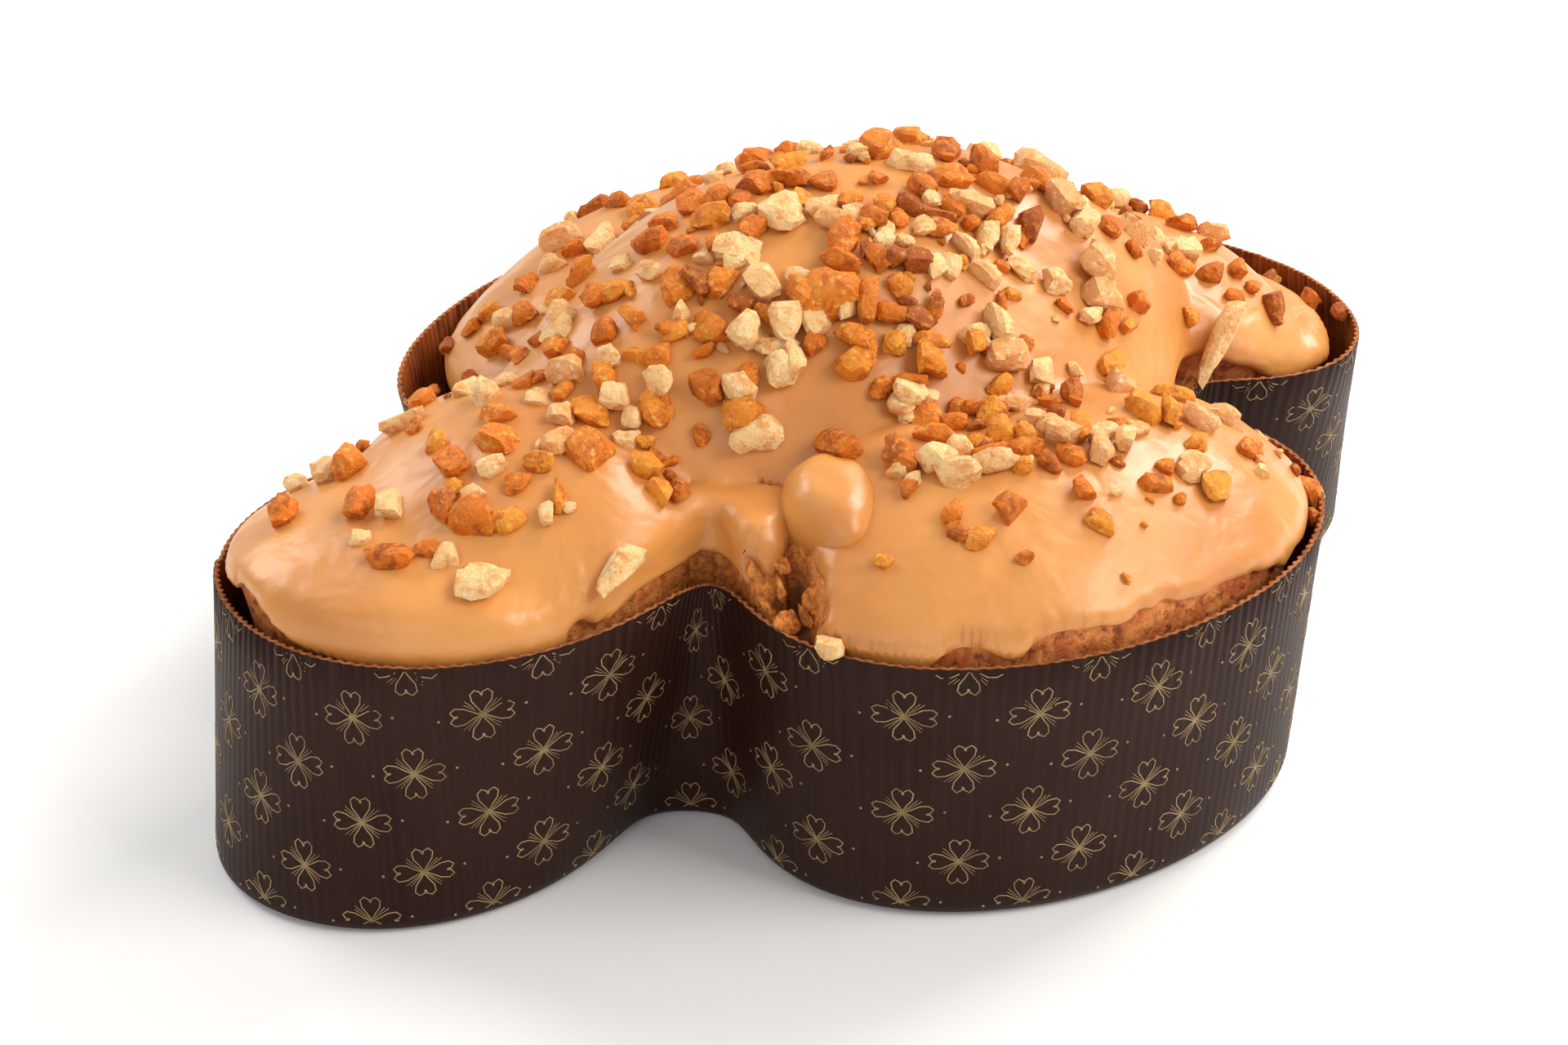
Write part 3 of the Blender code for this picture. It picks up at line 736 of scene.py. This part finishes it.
def makeCake():
    work = bmesh.new()
    # low holds painted shade, strongest deep in the torn opening
    torn, low = work.verts.layers.float.new("torn"), work.verts.layers.float.new("low")
    sheetInside(work, lambda p: 5.0 - outside(p, doughLobes), cake["cell"])
    around = tearDepth(coordinates(work.verts)[:, :2])
    notch = bumpAt(coordinates(work.verts), *cake["notch"])
    near = {v for v, d, share in zip(work.verts, around, notch) if d > -4 or share > 0.35}
    edges = [e for e in work.edges if near.issuperset(e.verts)]
    bmesh.ops.subdivide_edges(work, edges=edges, cuts=2, use_grid_fill=True)
    verts = list(work.verts)
    plan = coordinates(verts)[:, :2]
    place, normal = onSkin(plan, 0.0)
    edge, over = footOf(plan)
    marked = smoothStep(1.0, 3.0, over + 3 * bumpAt(plan, *cake["notch"]))
    marks = np.cos(alongEdge(edge) / case["fluteWidth"] * math.tau) * cake["fluteMark"] * marked
    rough = cake["crustRough"] * (ripple(place, 3.0, 41) + 0.6 * ripple(place, 1.5, 42))
    place = place + normal * (marks + rough)[:, None]
    inTear = tearDepth(plan)
    pit = smoothStep(-0.6, 3.0, inTear)
    patch = np.max([bumpAt(plan, *spot) for spot in cake["crumbSpots"]], 0)
    crumbly = np.clip(smoothStep(-3.0, -0.5, inTear) + patch * 1.4 - 0.4, 0, 1)
    place[:, 2] -= pit * cake["tear"][5] * (0.75 + 0.35 * ripple(plan, 5, 43))
    rag = ripple(place, 2.6, 44) * 1.3 + ripple(place, 1.2, 45) * 0.6
    place = place + normal * (crumbly * rag)[:, None]
    # low: painted shade, rising with depth into the torn opening
    for vert, a, b in zip(verts, crumbly, smoothStep(0.35, 1.0, pit) * 0.8):
        vert[torn], vert[low] = a, b
    moveTo(verts, heldIn(place))
    border = [e for e in work.edges if e.is_boundary]
    for height in cake["sideHeights"]:
        grown = bmesh.ops.extrude_edge_only(work, edges=border)["geom"]
        ring = [g for g in grown if isinstance(g, bmesh.types.BMVert)]
        border = [g for g in grown if isinstance(g, bmesh.types.BMEdge) and g.is_boundary]
        plan = coordinates(ring)[:, :2]
        share = height / cake["sideHeights"][0]
        inset, more = cake["sideInset"]
        level = -inset - more * (1 - share) ** 2 if share < 1 else 1.0
        plan = settled(plan, mixedLobes(dove["foot"], dove["dough"], share), level)
        moveTo(ring, np.column_stack([plan, np.full(len(plan), float(height))]))
    bmesh.ops.contextual_create(work, geom=border)
    for number, (x, y, z, radius) in enumerate(cake["crumbs"]):
        new = bmesh.ops.create_icosphere(work, subdivisions=3, radius=1.0)["verts"]
        spot = coordinates(new)
        rough = 1 + 0.75 * ripple(spot, 0.8, 300 + number) + 0.35 * ripple(spot, 0.35, 330 + number)
        turn = np.array(Matrix.Rotation(number * 0.9, 3, "Z") @ Matrix.Rotation(0.5, 3, "X"))
        moveTo(new, spot * rough[:, None] * radius * [0.5, 0.95, 1.25] @ turn + np.array([x, y, z]))
        for vert in new:
            vert[torn] = 1.0
    bmesh.ops.recalc_face_normals(work, faces=work.faces)
    finishPiece("bakedDough", work, crustPaint(), "cake")


def alongEdge(points):  # the way along the foot's outline, by direction from the middle
    angle = np.unwrap(np.arctan2(wall.foot[:, 1], wall.foot[:, 0]))
    here = np.arctan2(points[:, 1], points[:, 0])
    here = np.where(here < angle[0], here + math.tau, here)
    here = np.where(here > angle[0] + math.tau, here - math.tau, here)
    return np.interp(here, angle, np.arange(wall.count) / wall.count * wall.around)


def glazePaint():
    paint = Paint("caramelGlaze")
    thin = paint.attribute("thin")
    slow = paint.band(paint.noise(42, 2.0, 0.5, 0.3), 0.35, 0.65)
    cloud = paint.band(paint.noise(11, 3.0, 0.55, 0.5), 0.4, 0.7)
    colour = paint.mix(slow, glaze["pale"], glaze["deep"])
    colour = paint.mix(cloud * 0.3, colour, glaze["deep"])
    colour = paint.mix(thin, colour, glaze["thin"])
    gloss = 0.33 + 0.16 * cloud
    height = paint.noise(13, 2.0, 0.4, 0.8) * 0.8 + paint.noise(4.5) * 0.2
    bumped = paint.bump(height, 1.4, 0.8)
    return paint.finish({"Base Color": colour, "Roughness": gloss, "Normal": bumped,
                         "Subsurface Weight": 0.1, "Subsurface Scale": 0.002,
                         "Subsurface Radius": (1.0, 0.45, 0.2)})


glazeMaterial = glazePaint()


def makeGlaze():
    work = bmesh.new()
    top, thinLayer = work.verts.layers.float.new("top"), work.verts.layers.float.new("thin")
    sheetInside(work, glazeDepth, glaze["cell"])
    for step in (0.45, 0.4):
        bmesh.ops.inset_region(work, faces=work.faces[:], thickness=step, use_boundary=True)
    grown = bmesh.ops.extrude_face_region(work, geom=work.faces[:], use_keep_orig=True)["geom"]
    for vert in [g for g in grown if isinstance(g, bmesh.types.BMVert)]:
        vert[top] = 1.0
    verts = list(work.verts)
    plan = coordinates(verts)[:, :2]
    upper = np.array([vert[top] for vert in verts])
    depth = np.clip(glazeDepth(plan), 0, None)
    thick = glaze["thick"] * (1 + 0.12 * ripple(plan, 6, 51))
    bead = 1 + 0.25 * np.exp(-((depth - 2.4) / 1.6) ** 2)
    lip = np.sqrt(1 - (1 - np.clip(depth / (thick * 0.9), 0, 1)) ** 2)
    lift = np.where(upper > 0.5, 0.12 + thick * lip * bead, 0.1)
    place, _ = onSkin(plan, lift)
    for vert, value in zip(verts, np.exp(-depth / 0.8) * 0.6):
        vert[thinLayer] = value
    moveTo(verts, heldIn(place))
    bmesh.ops.recalc_face_normals(work, faces=work.faces)
    finishPiece("glazeCoat", work, glazeMaterial, "glaze")


def makeEgg():
    work = bmesh.new()
    centre, half, turn, way, more = glaze["egg"]
    new = bmesh.ops.create_icosphere(work, subdivisions=5, radius=1.0)["verts"]
    spot = coordinates(new)
    tip = more * np.exp((spot @ unit(np.array(way)) - 1) * 7)
    spot = spot * (1 + tip + 0.08 * ripple(spot, 0.9, 61) + 0.03 * ripple(spot, 0.4, 63))[:, None]
    moveTo(new, spot * np.array(half))
    bmesh.ops.rotate(work, verts=new, matrix=Matrix.Rotation(math.radians(turn), 3, "Z"))
    bmesh.ops.translate(work, verts=new, vec=centre)
    finishPiece("glazeLumps", work, glazeMaterial)


# Chopped nuts: x, y, across, and for some their width as a share of that and which way they lie
nuts = {
    "pale": (
        (-119, 19, 4.6), (-115, 13, 5.8), (-98, 11, 7.5, 0.49, -35), (-114, -13, 6.2, 0.65, 55),
        (-123, -17, 3.7), (-113, -31, 4.8), (-110, -39, 8.9, 0.77, -35), (-88, -47, 9.7, 0.46, 55),
        (-97, -21, 5.5), (-102, -23, 3.8), (-94, -35, 4.5, 0.63, 55), (-87, -21, 2.3), (-71, -25, 4.2),
        (-49, -31, 6.1), (-49, -37, 7.5), (-42, -25, 6.4), (-67, -22, 4.4), (-67, -17, 5.2), (-79, -7, 4),
        (-79, 6, 4.9, 0.47, -35), (-86, 1, 5.8), (-86, 9, 5), (-64, -10, 4.8), (-65, 6, 5.9),
        (-59, -21, 5.7), (-52, 53, 6), (9, -51, 5.9), (7, -55, 3.9), (18, -51, 3.7), (-22, -48, 6),
        (-18, -49, 4.1), (-25, -49, 5.2), (-25, -53, 3.9), (4, -77, 7.3, 0.43, 10), (5, -81, 5.4),
        (-21, -75, 6.7, 0.48, -35), (-23, -67, 5), (-28, -67, 6.5), (-28, -72, 7, 0.7, -35),
        (-35, -64, 3.1), (-34, -68, 3), (-5, -90, 2.3), (33, -90, 3.4), (76, -37, 16.5, 0.26, 55),
        (-10, 28, 5), (6, 4, 4.6), (13, -5, 7), (7, -18, 3.9), (47, -20, 3.8), (93, 16, 6.2),
        (41, -26, 6.3), (82, -8, 4.4), (85, -15, 7.7), (65, -23, 4.6), (-10, -16, 5.2), (-14, -11, 6, 0.53),
        (-22, -8, 8.3), (-26, -3, 5.2), (-34, -10, 7.9), (-39, -7, 3.6), (13, -28, 7.1, 0.62, 55),
        (17, -29, 7.1, 0.55, 55), (-7, -23, 3.1), (-10, -25, 4.1), (-1, -26, 4.3), (5, -30, 5.5),
        (-6, -27, 3.1), (-4, -33, 4.7), (0, -33, 5.1), (6, -35, 6.1), (17, -34, 5.2), (25, -36, 5.8),
        (30, -41, 5), (3, -43, 7), (-36, -12, 4.9), (-34, -20, 7.7), (-28, -22, 4.2),
        (-24, -32, 5.6, 0.49, 55), (-35, -28, 6.9), (-30, -31, 5.3), (-38, -30, 7.3, 0.46, -35),
        (-16, -40, 4), (-3, -44, 5.7), (-38, -33, 6), (-41, -33, 6.3), (-61, -80, 5, 0.82, 55),
        (-25, 56, 7.5), (-48, 0, 4.9), (-49, -13, 3.9), (-48, 9, 4.4), (-16, 24, 4.8), (33, 25, 4.3),
        (5, 41, 5.4), (-18, 51, 5), (61, 12, 4), (40, 46, 4.4), (50, 16, 7.6), (33, 21, 4.8), (15, 41, 6.4),
        (84, 24, 4.6), (64, 14, 4.7), (14, 32, 5.3), (20, 51, 6.4), (4, 56, 4.4), (36, 36, 6.5),
        (-4, 58, 5.8), (32, 58, 6.4), (10, 41, 7.5), (-9, 95, 5.4), (44, 24, 7.1), (36, 88, 5.2),
        (1, 52, 4.5), (24, 27, 5.2), (36, 48, 3.8), (78, 7, 4.1), (82, 11, 6.8), (57, 24, 4.1),
        (34, 63, 7.7), (36, 19, 4.5), (-10, 58, 4.2),
    ),
    "pink": (
        (-84, -22, 5.6), (-79, -15, 5.7), (-71, -6, 6.9), (1, -48, 8.8), (23, -61, 7.4), (-3, -60, 5.5),
        (-4, -67, 4.6), (-4, -71, 4.7), (-6, -75, 6.3), (12, -78, 4.2), (-1, -81, 5.9),
        (15, -89, 7, 0.73, 10), (28, -78, 6.6), (38, -74, 6.5, 0.58), (53, 1, 9.2),
        (16, -20, 9.4, 0.51, -35), (40, -21, 8.2), (104, -4, 9.5, 0.46), (63, -18, 7.4), (-16, -16, 6.4),
        (38, -33, 7.3), (37, -37, 8), (-42, -25, 6.8), (-30, 68, 8.4), (-37, 60, 5.6), (-62, 9, 5.7),
        (23, 40, 4.6), (23, 35, 4), (52, 25, 5.4), (31, 48, 4.8), (42, 33, 8.1), (-11, 46, 4.8),
        (42, 40, 4), (80, 15, 5.6), (68, 17, 4.2), (35, 56, 6), (33, 30, 4.2), (27, 45, 3.6),
    ),
    "golden": (
        (-111, 9, 7.4), (-91, 17, 6), (-100, -6, 4.7), (-92, -15, 6.5), (-104, -19, 3.4), (-100, -32, 4.8),
        (-90, -25, 4.9), (-80, -27, 7.4), (-67, -26, 3.3), (-73, -32, 5.4), (-65, -30, 3.1),
        (-90, -33, 5.8, 0.45, 55), (-73, -38, 4.9), (-50, -34, 6), (-62, -23, 6.6), (-73, -17, 6.8),
        (-88, -9, 5.7), (-74, -9, 3.4), (-67, -13, 5.6, 0.69, 55), (-68, 2, 4.9), (-60, -14, 4.1),
        (-57, -17, 5.1), (-56, 50, 5.8), (-27, -39, 8), (-19, -40, 4.2), (-14, -44, 7.1), (-4, -45, 4.5),
        (30, -48, 7.9, 0.57), (-21, -52, 6.7), (-2, -52, 4.5), (-9, -60, 6.1), (-12, -67, 5.5),
        (-10, -71, 4.4), (-1, -76, 7.2, 0.43, 55), (8, -76, 4), (-17, -78, 3.8), (-13, -75, 6.2, 0.47, -35),
        (-18, -72, 7, 0.4, -35), (-19, -68, 4.5), (-25, -61, 7, 0.49, -35), (-34, -79, 4.2),
        (-33, -86, 5.1), (-48, -78, 3.1), (-12, -94, 5.2), (9, -88, 3.9), (16, -94, 5.4), (18, -73, 6.5),
        (22, -75, 6.5), (32, -67, 6.5, 0.5, -35), (22, -84, 4.7), (34, -85, 4.9), (-6, 12, 8.2, 0.52),
        (11, 4, 8.6), (27, 13, 8.7), (17, -13, 6.9), (26, -16, 7, 0.55), (40, -14, 8.3, 0.52),
        (20, -23, 6.2, 0.56), (61, -9, 6.8), (99, 7, 6.4), (78, -20, 6.2), (-3, -16, 5.5), (-9, -13, 4.8),
        (-16, -6, 4.2), (-32, 2, 7), (-11, -21, 3.8), (2, -27, 6.6, 0.5, -35), (-17, -22, 7.5),
        (41, -41, 4.4), (11, -39, 3.2), (70, -31, 3.9), (-40, -13, 6.6), (-30, -25, 5.8), (-26, -28, 9.7),
        (-20, -33, 9.3, 0.45, 55), (-13, -33, 4.7), (-37, -24, 5, 0.42), (-47, -19, 6.6),
        (-26, -36, 6.4, 0.55), (-19, -40, 4.2, 0.58), (-12, -43, 6.1, 0.47, -35), (-50, 21, 6.2),
        (-56, 19, 5.8), (-54, 3, 6.6), (-10, 64, 6.9), (8, 77, 6.4), (-37, 10, 5.8), (-47, -8, 6.2),
        (-56, -7, 5.5), (-49, 50, 5.1), (-51, 61, 4.8), (-52, -15, 4.8), (7, 69, 5.1), (21, 73, 5.4),
        (27, 56, 4.5), (-3, 46, 7.3), (24, 50, 6.4), (16, 57, 5.8), (44, 65, 4.8), (58, 10, 6.7),
        (-18, 54, 4.7), (45, 50, 5.7), (31, 37, 7.1), (-2, 50, 6.2), (37, 67, 8.2), (12, 36, 6.7),
        (71, 17, 4.2), (30, 70, 4.2), (11, 48, 6.4), (17, 34, 3.8), (25, 68, 6.6), (30, 44, 5.5),
        (29, 66, 6), (80, 19, 7.2), (68, 10, 5.5), (47, 57, 4.6), (35, 33, 4.6), (-14, 41, 7.4),
        (28, 35, 4.1), (30, 90, 4.2),
    ),
    "orange": (
        (-129, 2, 6.7), (-103, 20, 3), (-99, 5, 4), (-119, -9, 7.8, 0.52, 55), (-121, -25, 6.8, 0.56, -35),
        (-115, -27, 3.8), (-101, -15, 7.1), (-107, -22, 5.3), (-104, -28, 7.3), (-95, -27, 4.6),
        (-68, -29, 3.4), (-68, -39, 4.6), (-57, -31, 3), (-53, -27, 6), (-46, -31, 4.3), (-50, -22, 3.7),
        (-63, 50, 3.3), (-77, 0, 4.2), (-74, -2, 3.4), (-70, 13, 3.9), (-67, 11, 3.7), (-67, -4, 3.4),
        (-61, -5, 5.5), (-53, -14, 3.4), (-56, 45, 6.5, 0.36), (8, -47, 3.6), (-26, -45, 4.4),
        (-21, -46, 6.7, 0.52, -35), (-13, -53, 3.5), (-11, -56, 4), (-18, -59, 5.2), (3, -62, 4),
        (10, -62, 7.6, 0.5, 55), (-7, -80, 4.8), (-12, -80, 4.3), (-32, -62, 6.8), (-36, -69, 3.8),
        (-36, -82, 4.6), (-37.5, -52, 9.4, 0.6, -80), (-25, -84, 5.4), (-11, -87, 4.6), (4, -91, 4.7),
        (-11, 18, 5.4, 0.4), (-17, 5, 6.8), (-13, 2, 6.5), (-8, -3, 6.6), (2, 10, 4.2, 0.54), (2, -7, 3.6),
        (25, -2, 6.4), (29, -8, 8.2), (8, -14, 6.8), (29, -18, 5.1), (95, -3, 5.8), (50, -24, 6.3),
        (94, -13, 5.1), (94, -22, 5.4), (84, -24, 6.3), (55, -27, 4), (85, -30, 4.7), (94, -27, 4.2),
        (-24, 3, 5.2), (-26, 8, 5.6, 0.58), (-29, -8, 6.9, 0.55), (-24, -11, 2.5), (-9, -20, 5.1),
        (-4, -22, 4.3), (11, -20, 4.4), (11, -25, 3.5), (23, -27, 3.9), (-20, -26, 6.6), (-14, -28, 4.9),
        (12, -34, 3.5, 0.57), (24, -40, 3.6), (34, -42, 5.7), (47, -37, 5.1), (7, -40, 4.3, 0.38),
        (-1, -39, 3.4), (-17, -36, 5), (-8, -38, 5.7, 0.43, 55), (-32, -33, 4.6), (-43, 59, 4.5),
        (-43, 7, 6.7), (-10, 75, 6), (-30, 11, 6.2), (-40, -1, 5.6), (-57, 4, 5), (-55, 63, 4.5),
        (-36, -6, 4.3), (-30, 59, 5.6), (4, 37, 8), (3, 63, 4), (39, 54, 7.2), (13, 44, 6.1), (14, 50, 6.2),
        (36, 43, 5.3), (41, 17, 5), (30, 80, 6.9), (6, 47, 7.4), (28, 59, 6.9), (30, 41, 5.6), (-7, 43, 6),
        (35, 28, 5.1), (89, 18, 6.8), (31, 52, 5.3), (-1, 60, 5), (75, 14, 8.1), (46, 64, 3.9), (60, 18, 8),
    ),
    "brown": (
        (-15, -62, 3.3), (0, -68, 4.5), (28, -25, 6.7), (96, 12, 4.6), (85, 2, 3.3), (62, -16, 4.3),
        (96, -32, 7.7, 0.55), (1, -19, 5.2), (4, -23, 7.7, 0.43, -35), (-15, -26, 3.1), (-11, -29, 5.1),
        (-7, -31, 6.2), (-40, -19, 5.3), (-13, -36, 3.4), (-12, -39, 6.3), (-43, -11, 5.8),
        (-58, 69, 4.6, 0.54, 55), (-18, 47, 4.4), (-4, 94, 8.1), (23, 58, 8.1), (40, 27, 7.7),
        (43, 72, 5.3), (30, 28, 7.6), (-1, 39, 4.3), (9, 57, 4.3), (6, 62, 3.7), (35, 77, 7.2),
    ),
    # in the gap between the cake and the case: x, y, z, across, kind
    "fallen": ((60, -66, 60, 6.5, "pale"), (55, -86, 59, 8.5, "golden"), (48, -93, 58, 5, "brown"),
               (-66, 50, 57, 5, "brown"), (-61, 44, 59, 4.5, "brown"), (-69, 60, 58, 4, "orange"),
               (124, -30, 60, 6, "brown"), (127, -18, 59, 7, "orange"), (126, -6, 60, 6, "brown")),
    "fallenShape": (0.6, 55),  # width as a share and way
    "fallenUp": (-0.6, 0.3, 0.75),
    "seed": 23,
    "blanks": 16,
    "larger": 1.16,  # the sunk part and the cut sides take some of the size
    # crumbs of nut strewn between the others
    "crumbCount": 110,
    "crumbSizes": (3.4, 1.6),
    "crumbPatches": ((12, -6, 30, 1.0), (-16, -12, 24, 0.9), (48, -2, 24, 0.5), (-62, -14, 22, 0.6),
                     (-20, 40, 30, 0.5), (-6, -70, 22, 0.9), (28, -78, 18, 0.6), (30, 40, 24, 0.5)),
    # kind: piece, lowest and highest tone
    "kinds": {
        "pale": ("paleNuts", 0.0, 0.45), "pink": ("paleNuts", 0.6, 1.0), "golden": ("goldenNuts", 0.0, 1.0),
        "orange": ("darkNuts", 0.0, 0.4), "brown": ("darkNuts", 0.7, 1.0),
    },
    # piece: colour at tone 0, at tone 1, of its spots, of its broken edges
    "looks": {
        "paleNuts": (rgb(255, 212, 146), rgb(238, 172, 108), rgb(232, 146, 62), rgb(255, 238, 200)),
        "goldenNuts": (rgb(240, 154, 44), rgb(228, 126, 26), rgb(190, 86, 14), rgb(254, 200, 104)),
        "darkNuts": (rgb(228, 122, 24), rgb(170, 84, 16), rgb(144, 62, 10), rgb(244, 168, 66)),
    },
}


def nutSpots():  # x, y, across, width as a share, way, kind
    draw = random.Random(nuts["seed"])
    spots = []
    for kind in nuts["kinds"]:
        for x, y, size, *rest in nuts[kind]:
            share = rest[0] if rest else draw.uniform(0.62, 0.92)
            way = rest[1] if len(rest) > 1 else draw.uniform(0, 360)
            spots.append((x, y, size * nuts["larger"], share, way, kind))
    spots.sort(key=lambda spot: -spot[2])
    total = len(spots) + nuts["crumbCount"]
    largest, smallest = nuts["crumbSizes"]
    while len(spots) < total:
        x, y = draw.uniform(-150, 130), draw.uniform(-110, 110)
        size = draw.uniform(smallest, largest)
        weight = sum(share * math.exp(-((x - x0) ** 2 + (y - y0) ** 2) / radius**2)
                     for x0, y0, radius, share in nuts["crumbPatches"])
        if draw.random() < weight and glazeDepth(np.array([[x, y]]))[0] > 6:
            share, way = draw.uniform(0.5, 0.9), draw.uniform(0, 360)
            spots.append((x, y, size, share, way, draw.choice(list(nuts["kinds"]))))
    return spots


def nutBlank(draw):  # a rough block of 54 faces, about 2 across
    work = bmesh.new()
    bmesh.ops.create_cube(work, size=2.0)
    bmesh.ops.subdivide_edges(work, edges=work.edges[:], cuts=2, use_grid_fill=True)
    spot = coordinates(work.verts)
    power = draw.uniform(2.0, 2.8)
    spot = spot / ((np.abs(spot) ** power).sum(1) ** (1 / power))[:, None]
    seed = draw.randrange(10000)
    spot = spot * (1 + 0.38 * ripple(spot, 0.9, seed) + 0.2 * ripple(spot, 0.45, seed + 1))[:, None]
    moveTo(work.verts, spot)
    for _ in range(draw.choice((1, 2, 3))):  # cut sides
        way = Vector([draw.gauss(0, 1) for _ in range(3)]).normalized()
        reach = draw.uniform(0.5, 0.8)
        for vert in work.verts:
            past = vert.co.dot(way) - reach
            if past > 0:
                vert.co -= way * past * 0.9
    return meshOf("nutBlank", work)


def nutPaint(name, low, high, spot, edge):
    paint = Paint(name)
    tone = paint.attribute("tone")
    body = paint.mix(paint.band(tone, 0.0, 1.0), low, high)
    patch = paint.band(paint.noise(3.2, 4.0, 0.65, 0.5), 0.46, 0.66)
    colour = paint.mix(patch * 0.75, body, spot)
    colour = paint.mix(paint.band(paint.noise(1.5, 4.0, 0.6), 0.52, 0.7) * 0.6, colour, edge)
    colour = paint.mix((1 - paint.band(paint.noise(1.1, 3.0, 0.6), 0.28, 0.4)) * 0.5, colour, spot)
    rough = paint.noise(0.8, 4.0, 0.7)
    bumped = paint.bump(rough + paint.noise(1.9, 3.0) * 1.6, 0.9, 0.9)
    return paint.finish({"Base Color": colour, "Roughness": 0.42 + 0.25 * rough, "Normal": bumped,
                         "Specular IOR Level": 0.3, "Subsurface Weight": 0.1, "Subsurface Scale": 0.0015,
                         "Subsurface Radius": (1.0, 0.5, 0.25)})


def makeNuts():
    spots = nutSpots()
    plan = np.array([spot[:2] for spot in spots])
    place, normal = onSkin(plan, 0.2 + glaze["thick"])
    across = np.array([spot[2] for spot in spots])
    for number, size in enumerate(across):  # a nut on top of others sits higher
        earlier = plan[:number] - plan[number]
        close = (1 - np.hypot(*earlier.T) / (0.42 * (across[:number] + size))).clip(0, 1)
        lift = 0.45 * size * close.max() if number else 0.0
        place[number] += normal[number] * (lift + size * 0.1)
    for x, y, z, size, kind in nuts["fallen"]:
        spots.append((x, y, size, *nuts["fallenShape"], kind))
        place, normal = np.vstack([place, (x, y, z)]), np.vstack([normal, nuts["fallenUp"]])
    works = {piece: bmesh.new() for piece in nuts["looks"]}
    layers = {piece: works[piece].verts.layers.float.new("tone") for piece in works}
    blanks = [nutBlank(random.Random(100 + number)) for number in range(nuts["blanks"])]
    for number, (_, _, size, share, way, kind) in enumerate(spots):
        draw = random.Random(nuts["seed"] * 1000 + number)
        piece, low, high = nuts["kinds"][kind]
        work = works[piece]
        before = len(work.verts)
        work.from_mesh(draw.choice(blanks))
        work.verts.ensure_lookup_table()
        half = Vector((1.08, share * 1.08, min(share * 1.1, draw.uniform(0.55, 0.85)))) * size / 2
        up = Vector(normal[number]).normalized()
        along = Vector((math.cos(math.radians(way)), math.sin(math.radians(way)), 0))
        along = (along - up * up.dot(along)).normalized()
        rolled = Matrix.Rotation(draw.gauss(0, 0.25), 3, "X")
        turn = Matrix((along, up.cross(along), up)).transposed() @ rolled
        value = draw.uniform(low, high)
        for vert in work.verts[before:]:
            vert.co = Vector(place[number]) + turn @ (vert.co * half)
            vert[layers[piece]] = value
    for piece, look in nuts["looks"].items():
        finishPiece(piece, works[piece], nutPaint(piece, *look), sharp=38)


makeCase()
makePrint()
makeCake()
makeGlaze()
makeEgg()
makeNuts()
